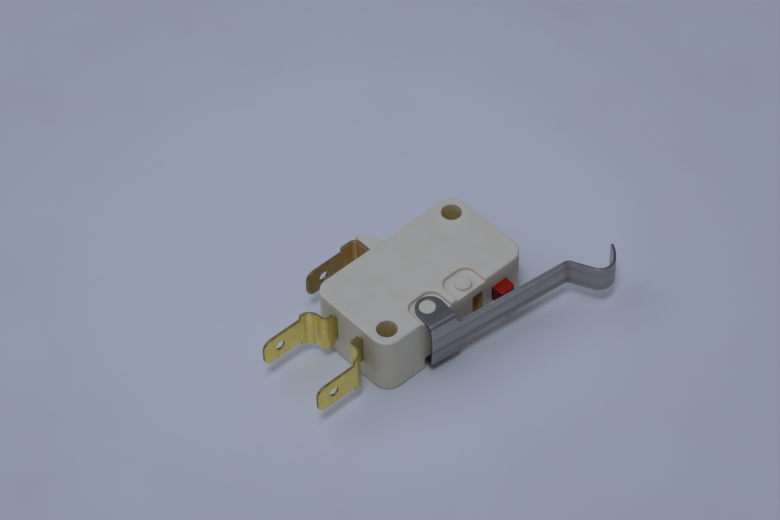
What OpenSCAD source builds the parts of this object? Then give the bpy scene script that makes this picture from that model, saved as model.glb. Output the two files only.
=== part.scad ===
// Miniature snap-action switch with a folded steel lever, lying on its flat side.
// Millimetres. X runs along the case, -Y is the plunger side, Z is the thickness.
// The origin is the middle of the underside.

/* [Case] */
// Length of the case along X
case_l = 27.8; // [27.7:0.1:28]
// Width of the case along Y
case_w = 15.9; // [15.8:0.1:16.1]
// Thickness of the case along Z
case_h = 10.3; // [10.2:0.05:10.5]
// Radius of the four upright corners
corner_r = 2.5; // [2.2:0.1:2.8]
// Thickness of the side walls
wall = 1.4; // [1.3:0.05:1.5]
// Thickness of the roof
roof_t = 1.3; // [1.2:0.05:1.4]
// Depth of the two pockets in the top face
pocket_d = 0.55; // [0.52:0.01:0.6]
// Thickness of the cover plate in the underside
cover_t = 1.6; // [1.4:0.1:1.7]

/* [Screw holes] */
// Diameter of each screw hole
hole_d = 3.1; // [3:0.05:3.2]
// Distance between the two holes along X
hole_dx = 22.2; // [22:0.1:22.4]
// Distance between the two holes along Y
hole_dy = 10.3; // [10.2:0.1:10.4]

/* [Lever] */
// Thickness of the lever sheet
lever_t = 0.42; // [0.38:0.01:0.44]
// Width of the narrow arm
arm_w = 4.55; // [4.2:0.05:4.8]
// Angle between the arm and the case wall at rest, degrees
lever_angle = 6.84; // [6:0.1:7.5]
// Length of the straight arm from the base's edge to the first bend
arm_l = 24.2; // [20:0.1:26]
// Middle radius of the rounded nose at the lever's end
nose_r = 2.2; // [1.8:0.1:2.4]
// Diameter of the pivot bosses
boss_d = 2.6; // [2.4:0.05:2.7]
// Running clearance of the lever on its bosses, on the radius
boss_gap = 0.05; // [0.03:0.01:0.08]

/* [Plunger] */
// Width of the plunger along X
plunger_w = 2.95; // [2.7:0.05:3]
// Height of the plunger along Z
plunger_h = 2.8; // [2.6:0.05:2.9]
// How far the plunger stands out of the wall at rest
plunger_proud = 2.0; // [1.8:0.1:2.1]

/* [Terminals] */
// Width of a quick-connect tab
tab_w = 4.75; // [4.65:0.05:4.85]
// Thickness of the terminal strip
strip_t = 0.5; // [0.48:0.01:0.52]
// Diameter of the detent hole in a tab
tab_hole_d = 1.5; // [1.3:0.1:1.7]
// Width of the shoulders behind each tab
root_w = 6.5; // [6:0.1:6.6]

/* [Hidden] */
$fn = 64;

// Height of the plane that the lever, plunger and terminals are centred on
zc = 5.95;
hx = case_l / 2;
hy = case_w / 2;
roof_z = case_h - roof_t;
hole_r = hole_d / 2;
post_r = hole_r + 0.6;
hole_pos = [[hole_dx / 2, hole_dy / 2], [-hole_dx / 2, -hole_dy / 2]];

// Pockets over the bosses: left and right edge, and the back edge they share
pocket_x = [[-6.75, -1.1], [0.05, 5.65]];
// The deeper ones below them end closer to the lever
low_x = [[-6.4, -1.1], [0.05, 5.65]];
pocket_y = -3.8;
pocket_r = 1.8;
pivot = [-4.0, -6.0];
spare = [2.85, -6.1];
lever_top = case_h - 0.05;
lever_half = lever_top - zc;
lever_bot = zc - lever_half;
low_z = lever_bot + lever_t + 0.08;
block_z = low_z + 1.05;
block_x = [-7.55, 6.45];
block_y = -2.95;

// Lever base: its corner on the outer face, the fold, and the pivot seen from it
lever_o = [-6.4, -9.5];
fold_r = 0.5;
piv_dx = pivot[0] - lever_o[0];
piv_dy = pivot[1] - lever_o[1];
piv_s = piv_dx * cos(lever_angle) - piv_dy * sin(lever_angle);
piv_t = piv_dx * sin(lever_angle) + piv_dy * cos(lever_angle);
bend_r = 1.0;
bend_a = 57;
leg_l = 3.7;
nose_a = 102.5;
lip_r = 6.8;
lip_a = 26;

plunger_x = 8.525;
plunger_tip = -hy - plunger_proud;
nose_y = -2.05;

// Terminals: middle lines of the two end strips and of the common strip
nc_y = 2.9;
no_y = -2.7;
jog = 3.1;
jog_x = -16.05;
jog_r = 2.0;
tip_x = -25.15;
shoulder_x = -18.1;
neck_w = 5.0;
com_x = -2.4;
com_y = 11.73;
com_tip_x = -11.95;
com_shoulder_x = -5.1;
slot_gap = 0.05;
contact_x = -9.2;
inner_x = -7.4;

// Moving pieces: pivots and rest angles
arm_pivot = [-2.6, 0.1];
arm_rest = -3.44;
arm_reach = 6.6;
rock_pivot = [4.0, 0.1];
rock_rest = -7.64;
post_pin_r = 0.8;

// Coil spring between the arm's hole and the rocker's hole
hook_r = 0.62;
wire_d = 0.28;
coil_r = 0.65;
turns = 12;
per_turn = 8;
arm_hook = 4.95;
rock_hook = 3.0;
sp0 = [arm_pivot[0] - arm_hook * cos(arm_rest), arm_pivot[1] - arm_hook * sin(arm_rest)];
sp1 = [rock_pivot[0] - rock_hook * cos(rock_rest), rock_pivot[1] - rock_hook * sin(rock_rest)];
sp_l = norm(sp1 - sp0);
sp_a = atan2(sp1[1] - sp0[1], sp1[0] - sp0[0]);
coil_x0 = 1.4;
coil_x1 = sp_l - 1.4;

// Rectangle with rounded corners, centred
module rrect(l, w, r) {
  square([l - 2 * r, w], center = true);
  square([l, w - 2 * r], center = true);
  for (i = [-1, 1], j = [-1, 1]) translate([i * (l / 2 - r), j * (w / 2 - r)]) circle(r);
}

// Pocket outline, open towards -Y
module pocket(x0, x1, yb, r) {
  translate([x0, -hy - 1]) square([x1 - x0, hy + 1 + yb - r]);
  translate([x0 + r, -hy - 1]) square([x1 - x0 - 2 * r, hy + 1 + yb]);
  translate([x0 + r, yb - r]) circle(r);
  translate([x1 - r, yb - r]) circle(r);
}

// Upright slab of an outline drawn in X and Z, from y0 to y1
module slab(y0, y1) translate([0, y1, 0]) rotate([90, 0, 0]) linear_extrude(y1 - y0) children();

// Slice of a strip's bend: middle radius r, thickness t, from angle a0 to a1
module ring_slice(r, t, a0, a1) {
  reach = 3 * (r + t);
  intersection() {
    difference() { circle(r + t / 2); circle(r - t / 2); }
    polygon([[0, 0], for (k = [0:4]) let (a = a0 + (a1 - a0) * k / 4) reach * [cos(a), sin(a)]]);
  }
}
// Strip drawn along +X; children carry on from its end
module run(l, t) {
  translate([-0.01, -t / 2]) square([l + 0.02, t]);
  translate([l, 0]) children();
}
module turn_left(r, a, t) {
  translate([0, r]) ring_slice(r, t, -90, a - 90);
  translate([r * sin(a), r * (1 - cos(a))]) rotate(a) children();
}
module turn_right(r, a, t) mirror([0, 1]) turn_left(r, a, t) mirror([0, 1]) children();

// ---- case ----
module fin() translate([0, 0, zc - 3.45]) linear_extrude(6.9)
  polygon([[1.0, hy - 0.3], [0.9, hy], [-0.62, 10.69], [-1.1, 11.72], [-1.45, 12.2],
           [-1.85, 12.2], [-2.1, 11.9], [-2.1, hy - 0.3]]);

module kept_inside() {
  for (p = hole_pos) translate([p[0], p[1], -1]) cylinder(r = post_r, h = case_h + 1);
  translate([block_x[0], -hy - 1, -1]) cube([block_x[1] - block_x[0], hy + 1 + block_y, block_z + 1]);
  translate([rock_pivot[0], rock_pivot[1], zc - 2.3]) cylinder(r = post_pin_r, h = case_h - zc + 2);
  translate([rock_pivot[0], rock_pivot[1], zc + 1.95]) cylinder(r = 1.5, h = case_h - zc);
  // ribs behind the strips
  translate([-hx, nc_y + 0.3, cover_t]) cube([hx - 11.4, hy - nc_y - 0.3, case_h]);
  translate([-8.2, nc_y + 0.3, cover_t]) cube([0.8, hy - nc_y - 0.3, case_h]);
  translate([-8.2, -hy, cover_t]) cube([0.6, hy + no_y - 0.3, case_h]);
  for (x = [com_x - 1.2, com_x + 0.3]) translate([x, 4.2, cover_t]) cube([0.9, 3, case_h]);
}

module case() color([0.93, 0.90, 0.81]) difference() {
  union() {
    linear_extrude(case_h) rrect(case_l, case_w, corner_r);
    fin();
  }
  difference() {
    union() {
      translate([0, 0, -0.5]) linear_extrude(cover_t + 0.5) rrect(case_l - 2, case_w - 2, corner_r - 1);
      translate([0, 0, cover_t - 0.2]) linear_extrude(roof_z - cover_t + 0.2)
        rrect(case_l - 2 * wall, case_w - 2 * wall, corner_r - wall);
    }
    kept_inside();
  }
  // screw holes
  for (p = hole_pos) translate([p[0], p[1], -1]) cylinder(r = hole_r, h = case_h + 2);
  // pockets on the top and the deeper ones below, each around its boss
  for (k = [0, 1]) {
    b = k == 0 ? pivot : spare;
    difference() {
      translate([0, 0, case_h - pocket_d]) linear_extrude(2) pocket(pocket_x[k][0], pocket_x[k][1], pocket_y, pocket_r);
      translate([b[0], b[1], 0]) cylinder(d = boss_d, h = case_h);
    }
    difference() {
      translate([0, 0, -1]) linear_extrude(low_z + 1) pocket(low_x[k][0], low_x[k][1], pocket_y, pocket_r);
      translate([b[0], b[1], lever_bot - 0.05]) cylinder(d = boss_d, h = case_h);
    }
  }
  // slot beside the plunger, and the plunger's guide
  translate([3.17, -hy - 1, zc - 3.2]) cube([2.02, 2.6, 5.4]);
  translate([plunger_x - plunger_w / 2 - slot_gap, -hy - 1, zc - plunger_h / 2 - slot_gap])
    cube([plunger_w + 2 * slot_gap, 4, plunger_h + 2 * slot_gap]);
  // slots for the terminals
  for (y = [nc_y, no_y]) translate([-hx - 1, y - strip_t / 2 - slot_gap, zc - neck_w / 2 - slot_gap])
    cube([3, strip_t + 2 * slot_gap, neck_w + 2 * slot_gap]);
  translate([com_x - strip_t / 2 - slot_gap, hy - 2, zc - neck_w / 2 - slot_gap])
    cube([strip_t + 2 * slot_gap, 3, neck_w + 2 * slot_gap]);
}

module cover() color([0.90, 0.87, 0.78]) linear_extrude(cover_t) difference() {
  rrect(case_l - 2.1, case_w - 2.1, corner_r - 1.05);
  translate([block_x[0] - 0.05, -hy - 1]) square([block_x[1] - block_x[0] + 0.1, hy + 1 + block_y + 0.05]);
  for (p = hole_pos) translate(p) circle(post_r + 0.05);
}

// ---- plunger ----
module plunger() color([0.80, 0.06, 0.05]) {
  w = plunger_w / 2;
  c = 0.4;
  translate([plunger_x, 0, zc - plunger_h / 2]) linear_extrude(plunger_h)
    polygon([[-w, -hy + wall + 0.1], [-w, plunger_tip + c], [-w + c, plunger_tip],
             [w - c, plunger_tip], [w, plunger_tip + c], [w, -hy + wall + 0.1]]);
  translate([plunger_x - 2.2, -hy + wall + 0.05, zc - 2.1]) cube([4.4, 0.8, 4.2]);
  translate([plunger_x - 1, -hy + wall + 0.5, zc - 1.1]) cube([2, nose_y + hy - wall - 0.5, 2.2]);
  translate([plunger_x, nose_y, zc - 1.1]) cylinder(r = 1, h = 2.2);
}

// ---- lever, drawn in the frame of its own base: X along the arm, Y into the sheet ----
module lever_side() difference() {
  union() {
    translate([-0.1, lever_bot + fold_r]) square([4.5, 2 * lever_half - 2 * fold_r]);
    translate([4.3, zc - arm_w / 2]) square([arm_l - 4.3, arm_w]);
    // rounded run-outs from the base to the arm
    translate([4.3, zc]) square([1.35, lever_half - 0.8]);
    translate([4.3, lever_bot + 0.3]) square([0.7, 3]);
    translate([4.9, lever_bot + 0.55]) square([1.6, 2.5]);
  }
  translate([5.65, lever_top - 0.775]) circle(lever_top - 0.775 - zc - arm_w / 2);
  translate([4.9 + zc - arm_w / 2 - lever_bot - 0.45, lever_bot + 0.45]) circle(zc - arm_w / 2 - lever_bot - 0.45);
  // slightly hollow edge of the base
  translate([0.12 - 32, zc]) circle(32, $fn = 200);
}

module fold_section(flip) mirror([0, flip ? 1 : 0])
  translate([fold_r, -fold_r]) ring_slice(fold_r - lever_t / 2, lever_t, 90, 180);

module ear_shape() difference() {
  union() {
    translate([-0.1, fold_r - 0.01]) square([4.5, 3.36 - fold_r]);
    translate([2.15, 3.35]) circle(2.25);
  }
  translate([piv_s, piv_t]) circle(boss_d / 2 + boss_gap);
}

// Hooked end: bend, leg, nose and lip as one outline, d to the left of its middle line
function arc(c, r, a0, a1) = let (n = ceil(abs(a1 - a0) / 3))
  [for (k = [0:n]) let (a = a0 + (a1 - a0) * k / n) c + r * [cos(a), sin(a)]];
bend_c = [arm_l, lever_t / 2 - bend_r];
leg_end = bend_c + bend_r * [sin(bend_a), cos(bend_a)] + leg_l * [cos(bend_a), -sin(bend_a)];
nose_c = leg_end + nose_r * [sin(bend_a), cos(bend_a)];
lip_start = nose_a - bend_a - 90;
lip_c = nose_c + (nose_r - lip_r) * [cos(lip_start), sin(lip_start)];
function hook_side(d) = concat([[arm_l - 0.5, lever_t / 2 + d]],
  arc(bend_c, bend_r + d, 90, 90 - bend_a),
  arc(nose_c, nose_r - d, -bend_a - 90, lip_start),
  arc(lip_c, lip_r - d, lip_start, lip_start + lip_a));
module lever_end() {
  far = hook_side(-lever_t / 2);
  polygon(concat(hook_side(lever_t / 2), [for (k = [len(far) - 1:-1:0]) far[k]]));
}

module lever() color([0.56, 0.57, 0.59])
  translate([lever_o[0], lever_o[1], 0]) rotate(-lever_angle) {
    slab(0, lever_t) lever_side();
    for (f = [0, 1]) translate([-0.1, 0, f == 0 ? lever_top : lever_bot])
      rotate([90, 0, 90]) linear_extrude(4.5) fold_section(f == 1);
    translate([0, 0, lever_top - lever_t]) linear_extrude(lever_t) ear_shape();
    translate([0, 0, lever_bot]) linear_extrude(lever_t) ear_shape();
    translate([0, 0, zc - arm_w / 2]) linear_extrude(arm_w) lever_end();
  }

// ---- terminals ----
// Side view of a tab pointing along -X: tip, shoulder, root and hole
module tab_side(x_tip, x_shoulder, x_root, x_hole) difference() {
  union() {
    translate([x_tip + 1.5, -tab_w / 2]) square([x_shoulder - x_tip - 1.4, tab_w]);
    translate([x_tip, -tab_w / 2 + 1.5]) square([2, tab_w - 3]);
    for (s = [-1, 1]) translate([x_tip + 1.5, s * (tab_w / 2 - 1.5)]) circle(1.5);
    translate([x_shoulder, -root_w / 2 + 0.4]) square([x_root - x_shoulder, root_w - 0.8]);
    translate([x_shoulder + 0.4, -root_w / 2]) square([x_root - x_shoulder - 0.8, root_w]);
    for (s = [-1, 1], x = [x_shoulder + 0.4, x_root - 0.4]) translate([x, s * (root_w / 2 - 0.4)]) circle(0.4);
  }
  translate([x_hole, 0]) circle(d = tab_hole_d);
}

module end_terminal(y, side) intersection() {
  linear_extrude(case_h) translate([inner_x, y]) rotate(180) mirror([0, side < 0 ? 1 : 0])
    run(inner_x - jog_x - 0.7, strip_t) turn_right(0.7, 90, strip_t) run(jog - 0.7 - jog_r, strip_t)
    turn_left(jog_r, 90, strip_t) run(jog_x - jog_r - tip_x, strip_t);
  slab(-20, 20) translate([0, zc]) difference() {
    union() {
      tab_side(tip_x, shoulder_x, -hx - 0.45, tip_x + 3.1);
      translate([-hx - 1, -neck_w / 2]) square([hx + 1 + inner_x, neck_w]);
    }
    translate([contact_x, 0]) circle(0.72);
  }
}

module normally_closed_terminal() color([0.80, 0.66, 0.25]) end_terminal(nc_y, 1);
module normally_open_terminal() color([0.80, 0.66, 0.25]) end_terminal(no_y, -1);

module common_terminal() color([0.72, 0.58, 0.24]) difference() {
  union() {
    // inner blade and the shoulder at the wall
    translate([com_x - strip_t / 2, -1, zc - neck_w / 2]) cube([strip_t, 9.4, neck_w]);
    translate([com_x - strip_t / 2, hy + 0.3, zc - root_w / 2]) cube([strip_t, com_y - 0.9 - hy - 0.3 + 0.01, root_w]);
    intersection() {
      linear_extrude(case_h) translate([com_x, com_y - 0.9]) rotate(90)
        turn_left(0.9, 90, strip_t) run(com_x - 0.9 - com_tip_x, strip_t);
      slab(0, 20) translate([0, zc]) tab_side(com_tip_x, com_shoulder_x, 0, com_tip_x + 3.2);
    }
  }
  // fork that the arm rocks in, with a notch across both prongs
  translate([com_x - 1, -2, zc - 1.1]) cube([2, 3.6, 2.2]);
  translate([com_x - strip_t / 2 - 1, arm_pivot[1] - 0.3, zc - 3]) cube([1.25, 0.6, 6]);
}

// ---- fixed contacts: rivets across Y ----
module rivet(head_r, head_h, tail_r) {
  // head towards +Z, strip between 0 and -strip_t
  rotate_extrude() polygon([[0, head_h], [head_r - 0.15, head_h], [head_r, head_h - 0.15], [head_r, 0],
    [0.7, 0], [0.7, -strip_t], [tail_r, -strip_t], [tail_r, -strip_t - 0.2], [tail_r - 0.1, -strip_t - 0.3], [0, -strip_t - 0.3]]);
}
module normally_closed_contact() color([0.82, 0.82, 0.80])
  translate([contact_x, nc_y - strip_t / 2, zc]) rotate([90, 0, 0]) rivet(1.2, 1.3, 0.9);
module normally_open_contact() color([0.82, 0.82, 0.80])
  translate([contact_x, no_y + strip_t / 2, zc]) rotate([-90, 0, 0]) rivet(1.2, 1.3, 0.8);

// ---- moving pieces ----
module at_arm() translate([arm_pivot[0], arm_pivot[1], zc]) rotate(arm_rest) children();

module contact_arm() color([0.78, 0.56, 0.32]) at_arm() difference() {
  union() {
    for (s = [-1, 1]) {
      translate([-4.4, -0.175, s * 1.45 - 0.3]) cube([4.4, 0.35, 0.6]);
      translate([0, 0, s * 1.45 - 0.3]) cylinder(r = 0.175, h = 0.6);
    }
    translate([-7.2, -0.175, -1.75]) cube([2.95, 0.35, 3.5]);
    translate([-7.2, 0.175, 0]) rotate([90, 0, 0]) cylinder(r = 1.75, h = 0.35);
  }
  translate([-arm_reach, 1, 0]) rotate([90, 0, 0]) cylinder(r = 0.62, h = 2);
  translate([-arm_hook, 1, 0]) rotate([90, 0, 0]) cylinder(r = 0.36, h = 2);
}

module moving_contact() color([0.82, 0.82, 0.80]) at_arm() translate([-arm_reach, 0, 0]) rotate([90, 0, 0]) {
  cylinder(r = 0.6, h = 0.5, center = true);
  for (s = [-1, 1]) mirror([0, 0, s < 0 ? 1 : 0]) intersection() {
    translate([0, 0, 0.175]) cylinder(r = 1.1, h = 1);
    translate([0, 0, 0.825 - 5.1]) sphere(r = 5.1, $fn = 96);
  }
}

module actuating_arm() color([0.20, 0.20, 0.21])
  translate([rock_pivot[0], rock_pivot[1], zc]) rotate(rock_rest) difference() {
    union() {
      cylinder(r = 1.5, h = 3.5, center = true);
      translate([0, -0.5, -1.4]) cube([5.7, 1, 2.8]);
      translate([-2.3, -0.4, -1]) cube([2.3, 0.8, 2]);
      translate([-3.7, -0.2, -0.8]) cube([1.5, 0.4, 1.6]);
    }
    cylinder(r = post_pin_r + 0.05, h = 6, center = true);
    translate([-rock_hook, 1, 0]) rotate([90, 0, 0]) cylinder(r = 0.36, h = 2);
  }

// ---- coil spring: one wire swept along its hooks and turns ----
n_hook = 7;
sp_path = concat(
  [for (k = [0:n_hook]) let (a = 270 - 180 * k / n_hook) [hook_r + hook_r * cos(a), hook_r * sin(a), 0]],
  [for (k = [0:turns * per_turn]) let (f = k / (turns * per_turn), a = 90 + 360 * turns * f)
    [coil_x0 + (coil_x1 - coil_x0) * f, coil_r * cos(a - 90), coil_r * sin(a - 90)]],
  [for (k = [0:n_hook]) let (a = 90 - 180 * k / n_hook) [sp_l - hook_r + hook_r * cos(a), hook_r * sin(a), 0]]);
n_path = len(sp_path);
function unit(v) = v / norm(v);
sp_tan = [for (i = [0:n_path - 1]) unit(sp_path[min(i + 1, n_path - 1)] - sp_path[max(i - 1, 0)])];
// side direction carried along the wire without twist
sp_side = [for (i = 0, v = [0, 0, 1]; i < n_path;
                i = i + 1, v = i < n_path ? unit(v - sp_tan[i] * (v * sp_tan[i])) : v) v];
wire_n = 6;
sp_pts = [for (i = [0:n_path - 1]) let (e = sp_side[i], g = cross(sp_tan[i], e))
          for (j = [0:wire_n - 1]) let (a = 360 * j / wire_n) sp_path[i] + wire_d / 2 * (cos(a) * e + sin(a) * g)];
sp_faces = concat(
  [for (i = [0:n_path - 2], j = [0:wire_n - 1]) let (a = i * wire_n + j, b = i * wire_n + (j + 1) % wire_n)
    each [[a, a + wire_n, b + wire_n], [a, b + wire_n, b]]],
  [[for (j = [0:wire_n - 1]) j]],
  [[for (j = [wire_n - 1:-1:0]) (n_path - 1) * wire_n + j]]);

module snap_spring() color([0.70, 0.71, 0.73])
  translate([sp0[0], sp0[1], zc]) rotate(sp_a) polyhedron(sp_pts, sp_faces, convexity = 10);

case();
cover();
plunger();
lever();
normally_closed_terminal();
normally_open_terminal();
common_terminal();
normally_closed_contact();
normally_open_contact();
contact_arm();
moving_contact();
actuating_arm();
snap_spring();
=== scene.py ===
"""Looks of a miniature snap-action switch with a folded lever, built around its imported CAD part.
Lengths in the helpers are millimetres; meshes are made in metres, in the CAD frame."""

import math

import bmesh
import bpy
import numpy as np
from mathutils import Matrix, Vector
from mathutils.geometry import delaunay_2d_cdt


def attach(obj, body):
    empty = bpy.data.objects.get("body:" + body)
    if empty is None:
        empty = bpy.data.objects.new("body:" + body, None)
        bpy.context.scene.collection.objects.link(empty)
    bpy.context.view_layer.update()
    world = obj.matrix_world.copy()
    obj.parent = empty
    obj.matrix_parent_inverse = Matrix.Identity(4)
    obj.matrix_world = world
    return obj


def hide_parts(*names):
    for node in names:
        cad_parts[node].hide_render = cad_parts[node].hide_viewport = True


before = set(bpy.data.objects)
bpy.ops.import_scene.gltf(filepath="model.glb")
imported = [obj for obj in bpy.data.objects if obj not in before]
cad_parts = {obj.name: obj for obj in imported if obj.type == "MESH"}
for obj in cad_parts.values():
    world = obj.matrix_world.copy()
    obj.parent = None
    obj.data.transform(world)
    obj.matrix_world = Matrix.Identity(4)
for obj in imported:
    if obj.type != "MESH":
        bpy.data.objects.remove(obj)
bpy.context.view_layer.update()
MM = 0.001

# ------------------------------------------------------------------ sizes, as in the CAD
ZC = 5.95
CASE_L, CASE_W, CASE_H = 27.8, 15.9, 10.3
HX, HY = CASE_L / 2, CASE_W / 2
HOLES = [(11.1, 5.15), (-11.1, -5.15)]
HOLE_R = 1.55
BOSSES = [(-4.0, -6.0), (2.85, -6.1)]
BOSS_R = 1.3
POCKET_Z = CASE_H - 0.55
LEVER_T, LEVER_HALF, FOLD = 0.42, 4.3, 0.5
LEVER_O, LEVER_A = (-6.4, -9.5), 6.84
ARM_L, ARM_W = 24.2, 4.55
STRIP_T, TAB_W, ROOT_W, NECK_W = 0.5, 4.75, 6.5, 5.0


# ------------------------------------------------------------------ mesh helpers
def new_piece(name, mesh):
    ob = bpy.data.objects.new(name, mesh)
    bpy.context.scene.collection.objects.link(ob)
    return ob


def outline(corners, arc_step=7.0):
    """Closed flat outline from (x, y, radius) corners, each rounded by its radius."""
    pts = []
    for i, (x, y, r) in enumerate(corners):
        p = np.array((x, y), float)
        if r <= 0:
            pts.append(p)
            continue
        a = np.array(corners[i - 1][:2], float) - p
        b = np.array(corners[(i + 1) % len(corners)][:2], float) - p
        u, v = a / np.linalg.norm(a), b / np.linalg.norm(b)
        half = math.acos(max(-1.0, min(1.0, float(u @ v)))) / 2
        c = p + (u + v) / np.linalg.norm(u + v) * r / math.sin(half)
        s, e = p + u * r / math.tan(half) - c, p + v * r / math.tan(half) - c
        a0 = math.atan2(s[1], s[0])
        turn = (math.atan2(e[1], e[0]) - a0 + math.pi) % (2 * math.pi) - math.pi
        k = max(2, math.ceil(abs(turn) / math.radians(arc_step)))
        pts += [c + r * np.array((math.cos(a0 + turn * j / k), math.sin(a0 + turn * j / k))) for j in range(k + 1)]
    keep = [p for i, p in enumerate(pts) if np.linalg.norm(p - pts[i - 1]) > 1e-4]
    return np.array(keep)


def ring(x, y, r, n=56):
    a = -2 * np.pi * np.arange(n) / n
    return np.stack([x + r * np.cos(a), y + r * np.sin(a)], 1)


def cut_at(loop, lines):
    """Adds points where the outline crosses the grid's lines, so that its edge follows every bend."""
    out = []
    for a, b in zip(loop, np.roll(loop, -1, 0)):
        t = [0.0]
        for k in (0, 1):
            d = b[k] - a[k]
            if abs(d) > 1e-6:
                q = (lines[k] - a[k]) / d
                t += list(q[(q > 0) & (q < 1)])
        length = np.linalg.norm(b - a)
        last = None
        for v in sorted(t):
            if last is None or ((v - last) * length > 0.02 and (1 - v) * length > 0.02):
                out.append(a + (b - a) * v)
                last = v
    return np.array(out)


def inside(p, loops):
    """Even-odd test of points against closed outlines."""
    hit = np.zeros(len(p), bool)
    for loop in loops:
        a, b = loop, np.roll(loop, -1, 0)
        for (ax, ay), (bx, by) in zip(a, b):
            if ay != by:
                hit ^= ((ay > p[:, 1]) != (by > p[:, 1])) & (
                    p[:, 0] < (bx - ax) * (p[:, 1] - ay) / (by - ay) + ax
                )
    return hit


class Path:
    """Middle line of a bent strip: straight runs and turns (left is positive), read at a length s."""

    def __init__(self, x, y, heading, parts):
        self.rows, s, a = [], 0.0, math.radians(heading)
        for kind, *v in parts:
            if kind == "run":
                self.rows.append((s, x, y, a, 0.0))
                x, y, s = x + v[0] * math.cos(a), y + v[0] * math.sin(a), s + v[0]
            else:
                r, t = v[0], math.radians(v[1])
                k = math.copysign(1 / r, t)
                self.rows.append((s, x, y, a, k))
                x += (math.sin(a + t) - math.sin(a)) / k
                y -= (math.cos(a + t) - math.cos(a)) / k
                a, s = a + t, s + r * abs(t)
        self.end = s

    def at(self, s):
        x, y, a = np.zeros_like(s), np.zeros_like(s), np.zeros_like(s)
        for i, (s0, x0, y0, a0, k) in enumerate(self.rows):
            on = s >= s0 if i else np.ones(len(s), bool)
            d = s[on] - s0
            a[on] = a0 + k * d
            if k:
                x[on] = x0 + (np.sin(a0 + k * d) - math.sin(a0)) / k
                y[on] = y0 - (np.cos(a0 + k * d) - math.cos(a0)) / k
            else:
                x[on], y[on] = x0 + d * math.cos(a0), y0 + d * math.sin(a0)
        return x, y, a


def unit(v):
    return v / np.maximum(np.linalg.norm(v, axis=-1, keepdims=True), 1e-12)


def sheet(name, loops, place, t, edge, lines, round_steps=3):
    """Sheet-metal piece: flat outlines (the outside counter-clockwise, then holes clockwise) with rounded edges,
    folded into shape by place(s, w, h). Its points keep their flat place (s, w, h) in the attribute "sheet"."""
    lines = [np.unique(np.round(np.asarray(v, float), 5)) for v in lines]
    loops = [cut_at(v, lines) for v in loops]
    flat, outs = [], []
    for loop in loops:
        fore = unit(np.roll(loop, -1, 0) - loop)
        side = np.stack([fore[:, 1], -fore[:, 0]], 1)
        mean = unit(side + np.roll(side, 1, 0))
        mean /= np.maximum((mean * side).sum(1), 0.5)[:, None]
        outs.append(mean)
        flat.append(loop - mean * edge)
    rim, rim_out = np.concatenate(flat), np.concatenate(outs)
    gs, gw = np.meshgrid(lines[0], lines[1], indexing="ij")
    grid = np.stack([gs.ravel(), gw.ravel()], 1)
    grid = grid[inside(grid, flat)]
    far = np.array([np.min(np.sum((rim - p) ** 2, 1)) for p in grid]) > 0.035**2
    grid = grid[far]
    cap = np.concatenate([rim, grid])
    edges, start = [], 0
    for loop in flat:
        n = len(loop)
        edges += [(start + i, start + (i + 1) % n) for i in range(n)]
        start += n
    v2, _, f2, source, _, _ = delaunay_2d_cdt([Vector(p) for p in cap], edges, [], 0, 1e-6)
    back = [s[0] if s else -1 for s in source]
    tris = np.array([[back[i] for i in f] for f in f2])
    tris = tris[(tris >= 0).all(1)]
    tris = tris[inside(cap[tris].mean(1), flat)]

    n_rim, n_cap = len(rim), len(cap)
    s_w, h, theta = [cap], [np.full(n_cap, t / 2)], [np.zeros(n_cap)]
    for k in range(1, round_steps + 1):
        a = math.pi / 2 * k / round_steps
        s_w.append(rim + rim_out * edge * math.sin(a))
        h.append(np.full(n_rim, t / 2 - edge + edge * math.cos(a)))
        theta.append(np.full(n_rim, a))
    count = sum(len(v) for v in h)
    s_w, h, theta = np.concatenate(s_w * 2), np.concatenate(h + [-v for v in h]), np.concatenate(theta * 2)
    out = np.concatenate(([np.concatenate([rim_out, np.zeros((len(grid), 2))])] + [rim_out] * round_steps) * 2)
    sign = np.where(np.arange(len(h)) < count, 1.0, -1.0)

    def level(k, upper):
        """First point of the rim's row k."""
        return (0 if upper else count) + (0 if k == 0 else n_cap + (k - 1) * n_rim)

    faces = [tuple(f) for f in tris] + [tuple(int(i) + count for i in f[::-1]) for f in tris]
    start = 0
    for loop in flat:
        n = len(loop)
        nxt = [(i, (i + 1) % n) for i in range(n)]
        for k in range(round_steps):
            for i, j in nxt:
                a, b = level(k, True) + start, level(k + 1, True) + start
                faces.append((a + i, b + i, b + j, a + j))
                a, b = level(k, False) + start, level(k + 1, False) + start
                faces.append((a + j, b + j, b + i, a + i))
        a, b = level(round_steps, True) + start, level(round_steps, False) + start
        faces += [(a + i, b + i, b + j, a + j) for i, j in nxt]
        start += n

    def at(ds=0.0, dw=0.0, dh=0.0):
        return place(s_w[:, 0] + ds, s_w[:, 1] + dw, h + dh)

    d = 2e-3
    along, across = at(ds=d) - at(ds=-d), at(dw=d) - at(dw=-d)
    normal = unit(np.cross(along, across))
    normal *= np.sign(np.sum(normal * (at(dh=d) - at(dh=-d)), 1))[:, None]
    sideways = unit(out[:, :1] * unit(along) + out[:, 1:] * unit(across))
    normal = unit(normal * (np.cos(theta) * sign)[:, None] + sideways * np.sin(theta)[:, None])
    where = at()

    me = bpy.data.meshes.new(name)
    me.from_pydata((where * MM).tolist(), [], [tuple(int(i) for i in f) for f in faces])
    a, b, c = (where[[f[k] for f in faces]] for k in (0, 1, 2))
    turned = np.sum(np.cross(b - a, c - a) * (normal[[f[0] for f in faces]] + normal[[f[2] for f in faces]]), 1)
    if turned.sum() < 0:
        me.flip_normals()
    me.shade_smooth()
    me.normals_split_custom_set_from_vertices(normal.tolist())
    kept = me.attributes.new("sheet", "FLOAT_VECTOR", "POINT")
    kept.data.foreach_set("vector", np.stack([s_w[:, 0], s_w[:, 1], h], 1).astype(np.float32).ravel())
    return new_piece(name, me)


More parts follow.
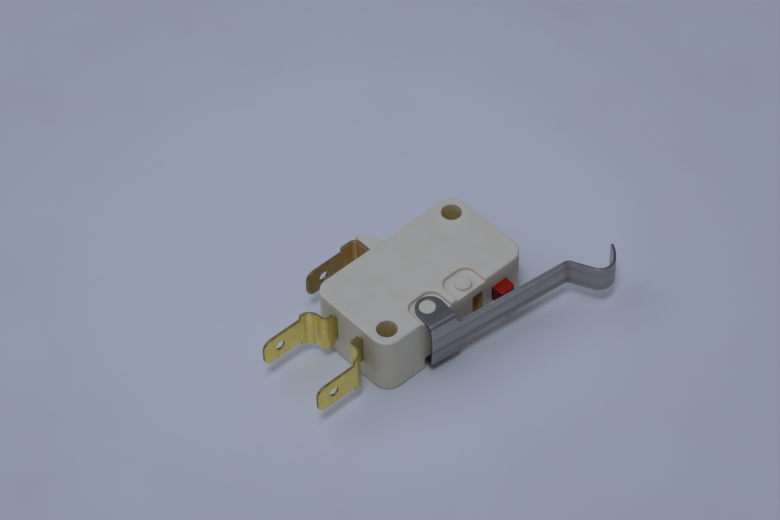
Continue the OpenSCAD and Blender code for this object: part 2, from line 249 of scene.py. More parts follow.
def spaced(*spans):
    """Grid lines: each span is (from, to, step)."""
    return np.concatenate([np.linspace(a, b, max(1, math.ceil((b - a) / st - 1e-9)) + 1) for a, b, st in spans])


def reface(mesh, levels):
    """Fills the flat areas at the given heights again from their outlines, so that the rounding leaves no sliver there."""
    bm = bmesh.new()
    bm.from_mesh(mesh)
    for level in levels:
        def on(part):
            return all(abs(v.co.z / MM - level) < 1e-3 for v in part.verts)
        bmesh.ops.delete(bm, geom=[f for f in bm.faces if on(f)], context="FACES")
        rim = [e for e in bm.edges if e.is_boundary and on(e)]
        bm.verts.index_update()
        bm.verts.ensure_lookup_table()
        order = sorted({v.index for e in rim for v in e.verts})
        place = {v: k for k, v in enumerate(order)}
        flat = [Vector(bm.verts[i].co.xy) / MM for i in order]
        pairs = [(place[e.verts[0].index], place[e.verts[1].index]) for e in rim]
        v2, _, f2, source, _, _ = delaunay_2d_cdt(flat, pairs, [], 0, 1e-6)
        verts = [bm.verts[order[s[0]]] if s else bm.verts.new((p.x * MM, p.y * MM, level * MM)) for p, s in zip(v2, source)]
        mids = np.array([[sum(v2[i].x for i in f) / len(f), sum(v2[i].y for i in f) / len(f)] for f in f2])
        segments = [np.array((flat[a], flat[b])) for a, b in pairs]
        hit = np.zeros(len(mids), bool)
        for (ax, ay), (bx, by) in segments:
            if ay != by:
                hit ^= ((ay > mids[:, 1]) != (by > mids[:, 1])) & (mids[:, 0] < (bx - ax) * (mids[:, 1] - ay) / (by - ay) + ax)
        for f, keep in zip(f2, hit):
            if keep and len({verts[i] for i in f}) == len(f):
                bm.faces.new([verts[i] for i in f])
    bm.to_mesh(mesh)
    bm.free()


def moulded(node, name, width, weigh, segments=3, levels=()):
    """Copy of a CAD node with its edges rounded: weigh(mm middle, convex, low face, edge) gives each edge's share of width."""
    bm = bmesh.new()
    bm.from_mesh(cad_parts[node].data)
    bmesh.ops.remove_doubles(bm, verts=bm.verts, dist=2e-6)
    bmesh.ops.dissolve_limit(bm, angle_limit=math.radians(0.5), verts=bm.verts, edges=bm.edges)
    layer = bm.edges.layers.float.new("bevel_weight_edge")
    for e in bm.edges:
        if len(e.link_faces) == 2 and e.calc_face_angle() > math.radians(28):
            a, b = (np.array(v.co) / MM for v in e.verts)
            e[layer] = weigh((a + b) / 2, a, b, e.is_convex)
    me = bpy.data.meshes.new(name)
    bm.to_mesh(me)
    bm.free()
    me.materials.clear()
    ob = new_piece(name, me)
    bevel = ob.modifiers.new("edges", "BEVEL")
    bevel.limit_method = "WEIGHT"
    bevel.width = width * MM
    bevel.segments = segments
    bevel.use_clamp_overlap = False
    bevel.loop_slide = True
    bevel.miter_outer = "MITER_SHARP"
    dg = bpy.context.evaluated_depsgraph_get()
    done = bpy.data.meshes.new_from_object(ob.evaluated_get(dg), preserve_all_data_layers=True, depsgraph=dg)
    ob.modifiers.clear()
    ob.data = done
    done.name = name
    bpy.data.meshes.remove(me)
    reface(done, levels)
    done.shade_smooth()
    done.set_sharp_from_angle(angle=math.radians(38))
    smooth = ob.modifiers.new("flats", "WEIGHTED_NORMAL")
    smooth.keep_sharp = True
    smooth.weight = 90
    return ob


# ------------------------------------------------------------------ case
def near(p, centre, r):
    return math.hypot(p[0] - centre[0], p[1] - centre[1]) < r


def case_weight(m, a, b, convex):
    high, low = min(a[2], b[2]), max(a[2], b[2])
    wall = abs(m[0]) > HX - 0.02 or abs(m[1]) > HY - 0.02 or math.hypot(abs(m[0]) - HX + 2.5, abs(m[1]) - HY + 2.5) > 2.45 and abs(m[0]) > HX - 2.5 and abs(m[1]) > HY - 2.5
    if high > POCKET_Z - 0.05:
        if any(near(m, h, HOLE_R + 0.1) for h in HOLES):
            return 0.35
        if any(near(m, h, BOSS_R + 0.1) for h in BOSSES):
            return 0.7 if convex else 0.4
        if not convex:
            return 0.35
        if high > CASE_H - 0.01 and wall:
            return 1.0 if m[1] < 0 else 0.7
        return 0.4
    if m[1] > HY + 0.05:
        return 0.45
    if low < 0.01:
        return 1.0 if wall else 0.2
    if m[1] < -HY + 0.02:
        return 0.25 if convex else 0.0
    return 0.0


case = moulded("case", "case_shell", 0.34, case_weight, 4, (POCKET_Z, CASE_H))
cover = moulded("cover", "cover_plate", 0.15, lambda m, a, b, convex: 1.0 if convex and max(a[2], b[2]) < 0.01 else 0.0, 3)


def plunger_weight(m, a, b, convex):
    if m[1] < -HY - 1.2 and abs(a[1] - b[1]) < 0.1:
        return 0.65
    return 0.85 if m[1] < -6 else 0.13


plunger = moulded("plunger", "plunger_button", 0.4, plunger_weight, 4)

# ------------------------------------------------------------------ lever
lever_path = Path(0, LEVER_T / 2, 0, [("run", ARM_L), ("turn", 1.0, -57), ("run", 3.7), ("turn", 2.2, 102.5), ("turn", 6.8, 27.4)])
fold_mid = FOLD - LEVER_T / 2
fold_w0 = LEVER_HALF - FOLD
fold_w1 = fold_w0 + fold_mid * math.pi / 2
ear_w = fold_w1 + 5.6 - FOLD


def crease(w, at, wide):
    return np.exp(-(((w - at) / wide) ** 2))


def lever_place(s, w, h):
    x, y, a = lever_path.at(s)
    # the rolled strip is not quite flat: slightly crowned, with two faint drawn lines along it
    flat = np.clip(1 - (np.abs(w) / 3.6) ** 4, 0, 1)
    h = h + flat * (0.05 * (1 - (w / 2.6) ** 2) - 0.016 * crease(w, -0.85, 0.17) - 0.008 * crease(w, 1.3, 0.14))
    x, y, z = x + h * np.sin(a), y - h * np.cos(a), w.copy()
    folded = np.abs(w) > fold_w0
    side = np.sign(w[folded])
    run = np.abs(w[folded]) - fold_w0
    turn = np.minimum(run / fold_mid, math.pi / 2)
    over = np.maximum(run - fold_mid * math.pi / 2, 0)
    hf = h[folded]
    y[folded] = FOLD - (fold_mid + hf) * np.cos(turn) + over
    z[folded] = side * (fold_w0 + (fold_mid + hf) * np.sin(turn))
    c, k = math.cos(math.radians(LEVER_A)), math.sin(math.radians(LEVER_A))
    return np.stack([LEVER_O[0] + x * c + y * k, LEVER_O[1] - x * k + y * c, ZC + z], 1)


dx, dy = BOSSES[0][0] - LEVER_O[0], BOSSES[0][1] - LEVER_O[1]
ca, sa = math.cos(math.radians(LEVER_A)), math.sin(math.radians(LEVER_A))
hole_s, hole_t = dx * ca - dy * sa, dx * sa + dy * ca
hole_w = fold_w1 + hole_t - FOLD
half_w = ARM_W / 2
end_s = lever_path.end
hollow = [(0.12 - w * w / 64, w, 0) for w in (3.7, 2.8, 1.9, 0.95, 0, -0.95, -1.9, -2.8, -3.7)]
lever_outline = outline(
    [(-0.1, -ear_w, 2.249), (4.4, -ear_w, 2.249), (4.4, -3.95, 0.15), (4.9, -3.95, 0.2), (4.9, -half_w, 1.45),
     (end_s, -half_w, 0.3), (end_s, half_w, 0.3), (4.4, half_w, 1.25), (4.4, ear_w, 2.249), (-0.1, ear_w, 2.249)] + hollow)
bend0, nose0 = ARM_L, ARM_L + math.radians(57) + 3.7
nose1 = nose0 + 2.2 * math.radians(102.5)
lever_s = spaced((-0.2, bend0, 0.4), (bend0, bend0 + math.radians(57), 0.07), (bend0 + math.radians(57), nose0, 0.4),
                 (nose0, nose1, 0.1), (nose1, end_s, 0.2))
upper = spaced((0, 1.0, 0.12), (1.0, 1.6, 0.06), (1.6, fold_w0, 0.2), (fold_w0, fold_w1, 0.057), (fold_w1, ear_w, 0.3))
lower = spaced((0, 0.5, 0.12), (0.5, 1.2, 0.06), (1.2, fold_w0, 0.2), (fold_w0, fold_w1, 0.057), (fold_w1, ear_w, 0.3))
lever_w = np.concatenate([-lower[::-1], upper])
lever = sheet("lever_strip", [lever_outline, ring(hole_s, hole_w, 1.35), ring(hole_s, -hole_w, 1.35)],
              lever_place, LEVER_T, 0.07, (lever_s, lever_w))


# ------------------------------------------------------------------ terminals
def strip_place(path, groove=None):
    def place(s, w, h):
        if groove is not None:
            # half-depth notch that the contact arm rocks in
            h = np.where(h < 0, h + 0.25 * np.clip(1.6 - np.abs(s - groove) / 0.25, 0, 1), h)
        x, y, a = path.at(s)
        return np.stack([x + h * np.sin(a), y - h * np.cos(a), ZC + w], 1)
    return place


def tab_corners(neck, root0, root1, tip, start):
    r, n, t = ROOT_W / 2, neck / 2, TAB_W / 2
    low = [(root0, -n, 0.12), (root0, -r, 0.4), (root1, -r, 0.4), (root1, -t, 0.2), (tip, -t, 1.5)]
    return start[0] + low + [(x, -w, q) for x, w, q in low[::-1]] + start[1]


def end_terminal(name, y, side):
    path = Path(-7.4, y, 180, [("run", 7.95), ("turn", 0.7, -90 * side), ("run", 0.4), ("turn", 2.0, 90 * side), ("run", 7.1)])
    b0, b1 = 7.95, 7.95 + 0.7 * math.pi / 2
    c0, c1 = b1 + 0.4, b1 + 0.4 + 2.0 * math.pi / 2
    loop = outline(tab_corners(NECK_W, 6.95, c1 + 0.05, path.end, ([(0, -2.5, 0.35)], [(0, 2.5, 0.35)])))
    s = spaced((0, b0, 0.45), (b0, b1, 0.06), (b1, c0, 0.2), (c0, c1, 0.1), (c1, path.end, 0.4))
    return sheet(name, [loop, ring(path.end - 3.1, 0, 0.75), ring(1.8, 0, 0.72)], strip_place(path), STRIP_T, 0.17,
                 (s, spaced((-3.3, 3.3, 0.4))))


tab_nc = end_terminal("normally_closed_tab", 2.9, 1)
tab_no = end_terminal("normally_open_tab", -2.7, -1)

com_path = Path(-2.4, -1, 90, [("run", 11.83), ("turn", 0.9, 90), ("run", 8.65)])
com_b1 = 11.83 + 0.9 * math.pi / 2
com_loop = outline(tab_corners(NECK_W, 9.25, com_b1 + 1.8, com_path.end,
                               ([(0, 1.1, 0.3), (2.6, 1.1, 0.2), (2.6, -1.1, 0.2), (0, -1.1, 0.3), (0, -2.5, 0.4)], [(0, 2.5, 0.4)])))
tab_com = sheet("common_tab", [com_loop, ring(com_path.end - 3.2, 0, 0.75)], strip_place(com_path, 1.1), STRIP_T, 0.17,
                (spaced((0, 0.5, 0.25), (0.5, 1.7, 0.08), (1.7, 11.83, 0.4), (11.83, com_b1, 0.07), (com_b1, com_path.end, 0.4)),
                 spaced((-3.3, 3.3, 0.4))))


# ------------------------------------------------------------------ spring, as round wire
def coil(name):
    def on(p, a, l):
        return np.array((p[0] - l * math.cos(math.radians(a)), p[1] - l * math.sin(math.radians(a))))

    p0, p1 = on((-2.6, 0.1), -3.44, 4.95), on((4.0, 0.1), -7.64, 3.0)
    span = np.linalg.norm(p1 - p0)
    hook, radius, turns, wire = 0.62, 0.65, 12, 0.28
    a = np.radians(np.linspace(270, 90, 17))
    first = np.stack([hook + hook * np.cos(a), hook * np.sin(a), 0 * a], 1)
    f = np.linspace(0, 1, turns * 24 + 1)
    a = 2 * np.pi * turns * f
    coils = np.stack([1.4 + (span - 2.8) * f, radius * np.cos(a), radius * np.sin(a)], 1)
    a = np.radians(np.linspace(90, -90, 17))
    last = np.stack([span - hook + hook * np.cos(a), hook * np.sin(a), 0 * a], 1)
    path = np.concatenate([first, coils, last])
    tangent = unit(np.gradient(path, axis=0))
    side, sides = np.array((0.0, 0.0, 1.0)), []
    for v in tangent:
        side = unit(side - v * (side @ v))
        sides.append(side)
    sides = np.array(sides)
    third = np.cross(tangent, sides)
    n = 10
    a = 2 * np.pi * np.arange(n) / n
    p = path[:, None] + wire / 2 * (np.cos(a)[None, :, None] * sides[:, None] + np.sin(a)[None, :, None] * third[:, None])
    u = unit(p1 - p0)
    turn = np.array(((u[0], -u[1], 0), (u[1], u[0], 0), (0, 0, 1)))
    p = p.reshape(-1, 3) @ turn.T + np.array((p0[0], p0[1], ZC))
    rows = len(path)
    faces = [(i * n + j, i * n + (j + 1) % n, (i + 1) * n + (j + 1) % n, (i + 1) * n + j) for i in range(rows - 1) for j in range(n)]
    faces += [tuple(range(n))[::-1], tuple((rows - 1) * n + j for j in range(n))]
    me = bpy.data.meshes.new(name)
    me.from_pydata((p * MM).tolist(), [], faces)
    me.shade_smooth()
    return new_piece(name, me)


spring = coil("spring_wire")


# ------------------------------------------------------------------ materials
class Look:
    """One procedural material: a Principled shader and the nodes that feed it."""

    def __init__(self, name, **sockets):
        self.mat = bpy.data.materials.new(name)
        self.mat.use_nodes = True
        self.tree = self.mat.node_tree
        self.shader = self.tree.nodes["Principled BSDF"]
        self.set(self.shader, sockets)
        self.coord = self.tree.nodes.new("ShaderNodeTexCoord").outputs["Object"]

    def set(self, node, sockets):
        for k, v in sockets.items():
            key = k.replace("_", " ").title().replace("Ior", "IOR") if isinstance(k, str) else k
            node.inputs[key].default_value = v

    def link(self, a, b):
        self.tree.links.new(a, b)

    def flat_place(self):
        n = self.tree.nodes.new("ShaderNodeAttribute")
        n.attribute_name = "sheet"
        return n.outputs["Vector"]

    def stretch(self, vector, scale, turn=(0, 0, 0)):
        n = self.tree.nodes.new("ShaderNodeMapping")
        n.inputs["Scale"].default_value = scale
        n.inputs["Rotation"].default_value = turn
        self.link(vector, n.inputs["Vector"])
        return n.outputs["Vector"]

    def noise(self, vector, scale, detail=3.0, rough=0.5, warp=0.0):
        n = self.tree.nodes.new("ShaderNodeTexNoise")
        n.inputs["Scale"].default_value = scale
        n.inputs["Detail"].default_value = detail
        n.inputs["Roughness"].default_value = rough
        n.inputs["Distortion"].default_value = warp
        self.link(vector, n.inputs["Vector"])
        return n.outputs["Fac"]

    def cells(self, vector, scale):
        n = self.tree.nodes.new("ShaderNodeTexVoronoi")
        n.inputs["Scale"].default_value = scale
        self.link(vector, n.inputs["Vector"])
        return n.outputs["Distance"]

    def ramp(self, fac, stops, smooth=False):
        n = self.tree.nodes.new("ShaderNodeValToRGB")
        n.color_ramp.interpolation = "EASE" if smooth else "LINEAR"
        e = n.color_ramp.elements
        while len(e) < len(stops):
            e.new(0.5)
        for el, (at, c) in zip(e, stops):
            el.position = at
            el.color = (*c, 1) if len(c) == 3 else c
        self.link(fac, n.inputs["Fac"])
        return n.outputs["Color"]

    def grey(self, fac, stops, smooth=False):
        return self.ramp(fac, [(at, (v, v, v)) for at, v in stops], smooth)

    def range(self, fac, a0, a1, b0, b1):
        n = self.tree.nodes.new("ShaderNodeMapRange")
        for k, v in zip(("From Min", "From Max", "To Min", "To Max"), (a0, a1, b0, b1)):
            n.inputs[k].default_value = v
        self.link(fac, n.inputs["Value"])
        return n.outputs["Result"]

    def parts(self, vector):
        n = self.tree.nodes.new("ShaderNodeSeparateXYZ")
        self.link(vector, n.inputs["Vector"])
        return n.outputs

    def mix(self, fac, a, b, blend="MIX"):
        n = self.tree.nodes.new("ShaderNodeMix")
        n.data_type = "RGBA"
        n.blend_type = blend
        for sock, v in ((n.inputs["Factor"], fac), (n.inputs[6], a), (n.inputs[7], b)):
            if isinstance(v, (int, float)):
                sock.default_value = v
            elif isinstance(v, tuple):
                sock.default_value = (*v, 1)
            else:
                self.link(v, sock)
        return n.outputs[2]

    def math(self, op, a, b):
        n = self.tree.nodes.new("ShaderNodeMath")
        n.operation = op
        for sock, v in zip(n.inputs, (a, b)):
            if isinstance(v, (int, float)):
                sock.default_value = v
            else:
                self.link(v, sock)
        return n.outputs[0]

    def bump(self, height, strength, distance, under=None):
        n = self.tree.nodes.new("ShaderNodeBump")
        n.inputs["Strength"].default_value = strength
        n.inputs["Distance"].default_value = distance
        self.link(height, n.inputs["Height"])
        if under is not None:
            self.link(under, n.inputs["Normal"])
        return n.outputs["Normal"]

    def feed(self, **sockets):
        for k, v in sockets.items():
            self.link(v, self.shader.inputs[k.replace("_", " ").title()])


def plastic(name, light, dark, speck, rough=(0.42, 0.56), grain=0.12, wall_shade=None):
    m = Look(name)
    cloud = m.noise(m.coord, 210, 4, 0.55)
    colour = m.ramp(cloud, [(0.3, dark), (0.7, light)], True)
    if wall_shade is not None:
        # painted shade: vertical faces are darkened and yellowed a little against the top
        face = m.tree.nodes.new("ShaderNodeNewGeometry").outputs["Normal"]
        wall_shade_mask = m.range(m.parts(face)[2], 0.85, 0.3, 0, 1)
        colour = m.mix(wall_shade_mask, colour, m.mix(1.0, colour, wall_shade, "MULTIPLY"))
        # and painted shade along the bottom: a dark contact line under the rounded foot edge
        colour = m.mix(1.0, colour, m.grey(m.range(m.parts(m.coord)[2], 0.0, 0.0003, 0, 1), [(0.3, 0.3), (0.9, 1.0)], True), "MULTIPLY")
    dots =m.grey(m.cells(m.coord, 420), [(0.0, 1.0), (0.055, 1.0), (0.1, 0.0)])
    some = m.grey(m.noise(m.coord, 260, 1), [(0.6, 0.0), (0.66, 1.0)])
    colour = m.mix(m.math("MULTIPLY", dots, some), colour, speck)
    fine = m.noise(m.coord, 5200, 3, 0.6)
    m.feed(base_color=colour, roughness=m.range(m.noise(m.coord, 900, 3), 0.3, 0.7, *rough))
    m.link(m.bump(fine, grain, 0.00003), m.shader.inputs["Normal"])
    return m


CREAM, CREAM_LOW = (0.80, 0.735, 0.585), (0.765, 0.695, 0.545)
case_look = plastic("case_cream", CREAM, CREAM_LOW, (0.42, 0.36, 0.27), wall_shade=(0.93, 0.92, 0.89))
case_look.shader.inputs["Subsurface Weight"].default_value = 0.12
case_look.shader.inputs["Subsurface Radius"].default_value = (1.0, 0.62, 0.3)
case_look.shader.inputs["Subsurface Scale"].default_value = 0.0006


def moulded_inside(name, rim, dark, light):
    """Inner faces: painted glow of light through the cream plastic, turning amber with depth, with faint drawn streaks.
    """
    m = Look(name, roughness=0.6)
    low = m.range(m.parts(m.coord)[2], 0.0101, 0.0088, 0, 1)
    streak = m.noise(m.stretch(m.coord, (1, 1, 0.12)), 2600, 3)
    m.feed(base_color=m.mix(low, rim, m.ramp(streak, [(0.3, dark), (0.7, light)])))
    m.link(m.bump(streak, 0.15, 0.00003), m.shader.inputs["Normal"])
    return m


bore_look = moulded_inside("case_bore", (0.80, 0.69, 0.47), (0.66, 0.50, 0.20), (0.78, 0.62, 0.28))
slot_look = moulded_inside("case_slot", (0.66, 0.44, 0.19), (0.56, 0.33, 0.10), (0.80, 0.54, 0.20))
inside_look = moulded_inside("case_inside", (0.62, 0.42, 0.18), (0.56, 0.37, 0.15), (0.68, 0.47, 0.20))
# painted glow: a faint amber emission stands in for light coming through the plastic into the dark cavity
inside_look.shader.inputs["Emission Color"].default_value = (1.0, 0.56, 0.20, 1)
inside_look.shader.inputs["Emission Strength"].default_value = 0.015
# painted shade: the pocket rim faces get a darker, warmer cream than the top
rim_look = plastic("case_rim", (0.74, 0.64, 0.48), (0.69, 0.585, 0.43), (0.42, 0.36, 0.27))

cover_look = plastic("cover_cream", (0.76, 0.695, 0.55), (0.71, 0.645, 0.50), (0.40, 0.34, 0.25), (0.46, 0.6), 0.18)

red = Look("plunger_red", subsurface_weight=0.08, specular_ior_level=0.22)
red.shader.inputs["Subsurface Radius"].default_value = (1.0, 0.25, 0.15)
red.shader.inputs["Subsurface Scale"].default_value = 0.0004
red_cloud = red.noise(red.coord, 700, 4)
red_unshaded = red.ramp(red_cloud, [(0.3, (0.42, 0.013, 0.003)), (0.7, (0.50, 0.020, 0.005))], True)
# painted shade: the left (-X) side is darkened to a black-red
red.feed(base_color=red.mix(red.range(red.parts(red.coord)[0], 0.0074, 0.0071, 0, 1), red_unshaded, (0.15, 0.003, 0.002)),
         roughness=red.range(red.noise(red.coord, 2500, 3), 0.3, 0.7, 0.3, 0.45))
red.link(red.bump(red.noise(red.coord, 5000, 3), 0.1, 0.00003), red.shader.inputs["Normal"])


def drawn_metal(name, light, dark, rough, along, half, sheared, stain=None, bands=None, places=None, end_edge=None, left=None):
    """Rolled strip: fine lines along its length in colour, roughness and height, read from the sheet's flat place.
    bands and places are (mm, tone) rows across and along the strip, left the same along its left-hand side only;
    its sheared edges have a colour of their own."""
    m = Look(name, metallic=1.0)
    flat = m.flat_place()
    s, w, h = (m.parts(flat)[k] for k in range(3))
    fine = m.noise(m.stretch(flat, (0.05, 9.0, 1.0)), 1.0, 4, 0.6)
    broad = m.noise(m.stretch(flat, along), 1.0, 3, 0.5)
    colour = m.ramp(m.math("ADD", m.math("MULTIPLY", fine, 0.55), m.math("MULTIPLY", broad, 0.45)), [(0.36, dark), (0.64, light)], True)
    grit = m.noise(m.stretch(flat, (3.5, 7.0, 1.0)), 1.0, 2, 0.6)
    colour = m.mix(1.0, colour, m.grey(grit, [(0.3, 0.90), (0.7, 1.08)]), "MULTIPLY")
    if stain is not None:
        spots =m.grey(m.noise(flat, 1.7, 5, 0.6), [(0.56, 0.0), (0.72, 1.0)], True)
        colour = m.mix(m.math("MULTIPLY", spots, 0.6), colour, stain)
    if bands is not None:
        wander = m.range(m.noise(m.stretch(flat, (0.25, 0.08, 0.0)), 1.0, 2), 0.3, 0.7, -0.06, 0.06)
        lo, hi = bands[0][0], bands[-1][0]
        across = m.range(m.math("ADD", w, wander), lo, hi, 0, 1)
        tone = m.grey(across, [((at - lo) / (hi - lo), v) for at, v in bands])
        # fainter and mottled past the bend
        past = m.range(s, ARM_L + 0.8, ARM_L + 2.6, 0, 1)
        mottle = m.ramp(m.noise(flat, 0.9, 3, 0.6), [(0.38, (0.87, 0.91, 0.89)), (0.62, (0.96, 0.89, 0.95))])
        tone = m.mix(m.math("MULTIPLY", past, 0.65), tone, mottle)
        colour = m.mix(1.0, colour, tone, "MULTIPLY")
    if places is not None:
        lo, hi = places[0][0], places[-1][0]
        colour = m.mix(1.0, colour, m.grey(m.range(s, lo, hi, 0, 1), [((at - lo) / (hi - lo), v) for at, v in places]), "MULTIPLY")
    if left is not None:
        lo, hi = left[0][0], left[-1][0]
        tone = m.grey(m.range(s, lo, hi, 0, 1), [((at - lo) / (hi - lo), v) for at, v in left])
        colour = m.mix(m.range(h, 0.05, -0.05, 0, 1), colour, m.mix(1.0, colour, tone, "MULTIPLY"))
    side =m.range(m.math("ABSOLUTE", h, 0.0), half - 0.03, half - 0.10, 0, 1)
    torn = m.noise(m.stretch(flat, (1.4, 1.4, 6.0)), 1.0, 3, 0.6)
    sheared = m.ramp(torn, [(0.35, sheared[0]), (0.65, sheared[1])], True)
    if end_edge is not None:
        # the sheared edge is darker at the cut end, around the bend and along the nose
        sheared = m.mix(m.range(s, 0.25, 0.05, 0, 1), sheared, end_edge[0])
        sheared = m.mix(m.range(s, ARM_L - 1.0, ARM_L + 0.6, 0, 1), sheared, end_edge[1])
        sheared = m.mix(m.range(s, ARM_L + 6.0, ARM_L + 7.6, 0, 1), sheared, end_edge[2])
        # painted glint: one bright spot on the sheared edges
        painted_glint = m.math("ABSOLUTE", m.math("SUBTRACT", s, 11.1), 0.0)
        sheared = m.mix(m.range(painted_glint, 0.24, 0.12, 0, 1), sheared, (0.80, 0.79, 0.74))
    colour = m.mix(side, colour, sheared)
    m.feed(base_color=colour, roughness=m.math("MAXIMUM", m.range(fine, 0.3, 0.7, *rough), m.math("MULTIPLY", side, 0.6)))
    m.link(m.bump(fine, 0.22, 0.00002), m.shader.inputs["Normal"])
    return m


# tone across the lever: two faint drawn lines; painted highlight on the upper fold with painted shade in the crease
# just below it; painted shade along the lower fold and, a little, over the lower half
steel_lines_and_shading = [(-4.6, 0.24), (-4.05, 0.26), (-3.92, 0.5), (-3.75, 0.84), (-1.75, 0.80), (-1.3, 0.54), (-1.0, 0.92), (-0.4, 1.0), (0.6, 0.98),
               (1.05, 0.78), (1.4, 1.08), (2.3, 1.06), (3.55, 1.02), (3.7, 0.75), (3.78, 0.45), (3.86, 0.45), (3.95, 0.9), (4.04, 1.35), (4.14, 1.4),
               (4.24, 1.05), (4.34, 0.83), (4.9, 0.80)]
steel_places = [(0.0, 1.12), (0.35, 1.08), (0.5, 1.0), (ARM_L - 0.25, 1.0), (ARM_L + 0.3, 0.72), (ARM_L + 0.7, 0.74), (ARM_L + 1.3, 1.0),
                (31.6, 1.0), (33.2, 0.62), (36.0, 0.55)]
# its last rows are painted light: the hook tip's left-hand, inner face is brightened up to 2.2 times
steel = drawn_metal("lever_steel", (0.47, 0.445, 0.42), (0.38, 0.365, 0.35), (0.28, 0.42), (0.12, 1.6, 1.0), LEVER_T / 2,
                    ((0.42, 0.39, 0.40), (0.56, 0.52, 0.52)), None, steel_lines_and_shading, steel_places,
                    ((0.10, 0.095, 0.10), (0.30, 0.30, 0.30), (0.18, 0.19, 0.19)), [(0.0, 1.0), (31.0, 1.0), (32.6, 1.8), (36.0, 2.2)])
# painted highlights and dark streaks across the end tabs' second bend
brass_bend_sheen = [(6.0, 1.0), (9.2, 1.0), (9.9, 1.08), (10.4, 0.78), (10.8, 1.05), (11.4, 1.12), (11.9, 0.75), (12.3, 0.98), (12.8, 1.04), (20.0, 1.0)]
BRASS = [(0.98, 0.81, 0.24), (0.87, 0.70, 0.18), (0.24, 0.38), (1.1, 0.25, 1.0), STRIP_T / 2, ((0.24, 0.19, 0.075), (0.52, 0.42, 0.15)), (0.62, 0.46, 0.13)]
# the last rows of both tab looks darken the left-hand face from the case wall outwards
brass = drawn_metal("tab_brass", *BRASS, None, brass_bend_sheen, None, [(6.0, 0.62), (6.8, 0.66), (7.4, 0.75), (7.9, 0.88), (8.4, 1.0), (20.0, 1.0)])
neck_brass = drawn_metal("neck_brass", *BRASS, None, brass_bend_sheen, None,
                         [(6.0, 0.6), (8.6, 0.66), (10.2, 0.70), (11.4, 0.78), (12.2, 0.92), (13.0, 0.97), (20.0, 1.0)])
# tone along the common tab: painted dark line and highlight across its bend, then darker towards its tip
common_sheen_and_tone = [(0.0, 1.0), (11.6, 1.0), (12.0, 0.75), (12.6, 1.1), (13.6, 1.2), (14.6, 1.1), (15.4, 0.88), (18.0, 0.84), (19.6, 0.68), (22.0, 0.62)]
common_brass = drawn_metal("common_brass", (0.92, 0.68, 0.32), (0.72, 0.51, 0.21), (0.26, 0.42), (1.1, 0.25, 1.0), STRIP_T / 2,
                           ((0.20, 0.15, 0.075), (0.40, 0.31, 0.15)), (0.74, 0.53, 0.36), None, common_sheen_and_tone)


def plain_metal(name, light, dark, rough, scale):
    m = Look(name, metallic=1.0)
    n = m.noise(m.coord, scale, 4, 0.6)
    m.feed(base_color=m.ramp(n, [(0.3, dark), (0.7, light)], True), roughness=m.range(n, 0.3, 0.7, *rough))
    m.link(m.bump(m.noise(m.coord, scale * 6, 3), 0.15, 0.00002), m.shader.inputs["Normal"])
    return m


silver = plain_metal("contact_silver", (0.82, 0.81, 0.78), (0.68, 0.66, 0.62), (0.25, 0.4), 1400)
copper = plain_metal("arm_copper", (0.76, 0.48, 0.27), (0.62, 0.37, 0.19), (0.3, 0.45), 900)
wire_look = plain_metal("spring_steel", (0.60, 0.60, 0.61), (0.46, 0.46, 0.47), (0.22, 0.38), 1800)
black = plastic("rocker_black", (0.045, 0.045, 0.048), (0.03, 0.03, 0.032), (0.08, 0.08, 0.08), (0.4, 0.55))

for look in (case_look, bore_look, slot_look, rim_look, inside_look):
    case.data.materials.append(look.mat)
for p in case.data.polygons:
    c = np.array(p.center) / MM
    hole = any(near(c, h, HOLE_R + 0.02) for h in HOLES) and c[2] < CASE_H - 0.06
    slot = 3.1 < c[0] < 5.25 and -HY + 0.06 < c[1] < -6.2 and 2.7 < c[2] < 8.2
    rim = (POCKET_Z + 0.02 < c[2] < CASE_H - 0.02 and -7.0 < c[0] < 5.9 and -HY + 0.2 < c[1] < -3.5
           and not any(near(c, b, BOSS_R + 0.2) for b in BOSSES))
    inner = abs(c[0]) < 12.55 and abs(c[1]) < 6.6 and 1.55 < c[2] < 9.05
    p.material_index = 1 if hole else 2 if slot else 3 if rim else 4 if inner else 0
for look in (cover_look, inside_look):
    cover.data.materials.append(look.mat)
for p in cover.data.polygons:
    p.material_index = 1 if p.center.z > 0.0015 else 0
plunger.data.materials.append(red.mat)
lever.data.materials.append(steel.mat)
for ob, look in ((tab_nc, brass), (tab_no, neck_brass), (tab_com, common_brass)):
    ob.data.materials.append(look.mat)
spring.data.materials.append(wire_look.mat)

for node, look in (("normally_closed_contact", silver), ("normally_open_contact", silver), ("moving_contact", silver),
                   ("contact_arm", copper), ("actuating_arm", black)):
    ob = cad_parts[node]
    ob.data.materials.clear()
    ob.data.materials.append(look.mat)
    soft = ob.modifiers.new("edges", "BEVEL")
    soft.width = 0.04 * MM
    soft.segments = 2
    soft.angle_limit = math.radians(40)

for ob, node, body, slot in (
    (case, "case", "housing", "case_plastic"), (cover, "cover", "housing", "cover_plastic"),
    (plunger, "plunger", "plunger", "plunger_plastic"), (lever, "lever", "lever", "lever_steel"),
    (tab_nc, "normally_closed_terminal", "housing", "tab_brass"), (tab_no, "normally_open_terminal", "housing", "tab_brass"),
    (tab_com, "common_terminal", "housing", "tab_brass"), (spring, "snap_spring", "spring", "spring_steel"),
):
    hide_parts(node)
    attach(ob, body)

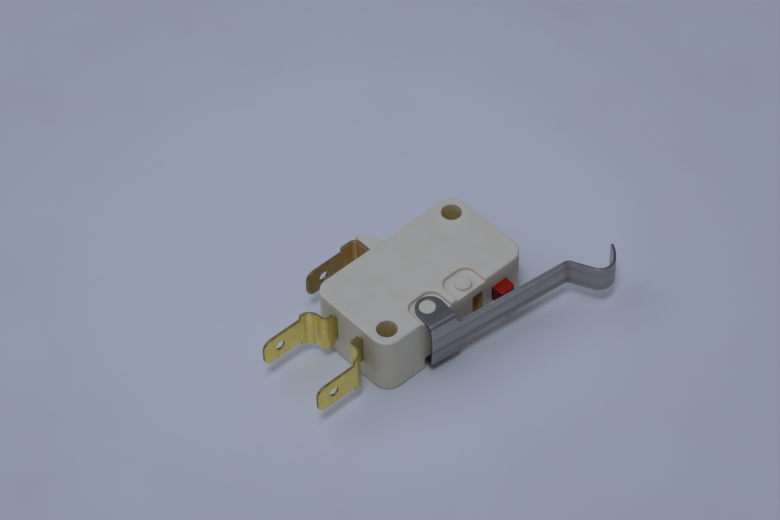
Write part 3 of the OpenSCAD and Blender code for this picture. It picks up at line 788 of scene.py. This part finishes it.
# ------------------------------------------------------------------ floor
me = bpy.data.meshes.new("floor")
me.from_pydata([(-0.9, -0.9, 0), (0.9, -0.9, 0), (0.9, 0.9, 0), (-0.9, 0.9, 0)], [], [(0, 1, 2, 3)])
floor = new_piece("floor", me)
floor.location.z = -0.00003
paper = Look("floor_paper", roughness=0.75, specular_ior_level=0.2)
smudge = paper.noise(paper.coord, 45, 5, 0.6)
sheet_white = paper.ramp(smudge, [(0.3, (0.735, 0.728, 0.745)), (0.5, (0.748, 0.748, 0.752)), (0.7, (0.755, 0.762, 0.765))], True)
marks = paper.grey(paper.noise(paper.stretch(paper.coord, (1.0, 3.0, 1.0), (0, 0, 0.7)), 150, 4, 0.6), [(0.64, 0.0), (0.74, 1.0)], True)
sheet_white = paper.mix(paper.math("MULTIPLY", marks, 0.35), sheet_white, (0.70, 0.695, 0.72))
# painted light falloff: the paper is darkened away from the middle of the set
reach = paper.tree.nodes.new("ShaderNodeVectorMath")
reach.operation = "DISTANCE"
paper.link(paper.coord, reach.inputs[0])
reach.inputs[1].default_value = (0.001, 0.0135, 0.0)
light_falloff = paper.grey(paper.range(reach.outputs["Value"], 0.0, 0.08, 0, 1), [(0.41, 1.0), (0.62, 0.93), (0.84, 0.88)], True)
paper.feed(base_color=paper.mix(1.0, sheet_white, light_falloff, "MULTIPLY"))
paper.link(paper.bump(paper.noise(paper.coord, 900, 4), 0.05, 0.00005), paper.shader.inputs["Normal"])
floor.data.materials.append(paper.mat)

# ------------------------------------------------------------------ camera
right = Vector((0.742382, -0.669637, -0.021327))
up = Vector((0.51192, 0.546421, 0.662844))
back = -Vector((0.432212, 0.503002, -0.748454))
cam = bpy.data.cameras.new("camera")
cam.sensor_width = 36.0
cam.lens = 36.0 * 2800 / 780
cam.clip_start, cam.clip_end = 0.01, 5.0
camera = bpy.data.objects.new("camera", cam)
bpy.context.scene.collection.objects.link(camera)
camera.matrix_world = Matrix.Translation(Vector((-179.1935, -201.9393, 317.1912)) * MM) @ Matrix((right, up, back)).transposed().to_4x4()
bpy.context.scene.camera = camera

# ------------------------------------------------------------------ light
LIGHT = (0.71, 0.786, 1.0)
world = bpy.data.worlds.new("studio")
bpy.context.scene.world = world
world.use_nodes = True
sky = world.node_tree.nodes["Background"]
sky.inputs["Color"].default_value = (*LIGHT, 1)
sky.inputs["Strength"].default_value = 0.175


def area(name, where, to, size, power, colour=LIGHT):
    data = bpy.data.lights.new(name, "AREA")
    data.shape = "DISK"
    data.size = size
    data.energy = power
    data.color = colour
    ob = bpy.data.objects.new(name, data)
    bpy.context.scene.collection.objects.link(ob)
    ob.location = where
    ob.rotation_euler = (Vector(to) - Vector(where)).to_track_quat("-Z", "Y").to_euler()
    return ob


area("key", (-0.57, -0.42, 1.7), (0, 0, 0), 0.40, 7.2)
area("second", (-0.1, -0.28, 1.7), (0, 0, 0), 0.40, 1.3)
area("ceiling", (-0.3, 0.5, 0.9), (0, 0, 0), 1.2, 2.75)

bpy.context.scene.view_settings.view_transform = "Standard"
bpy.context.scene.view_settings.look = "None"
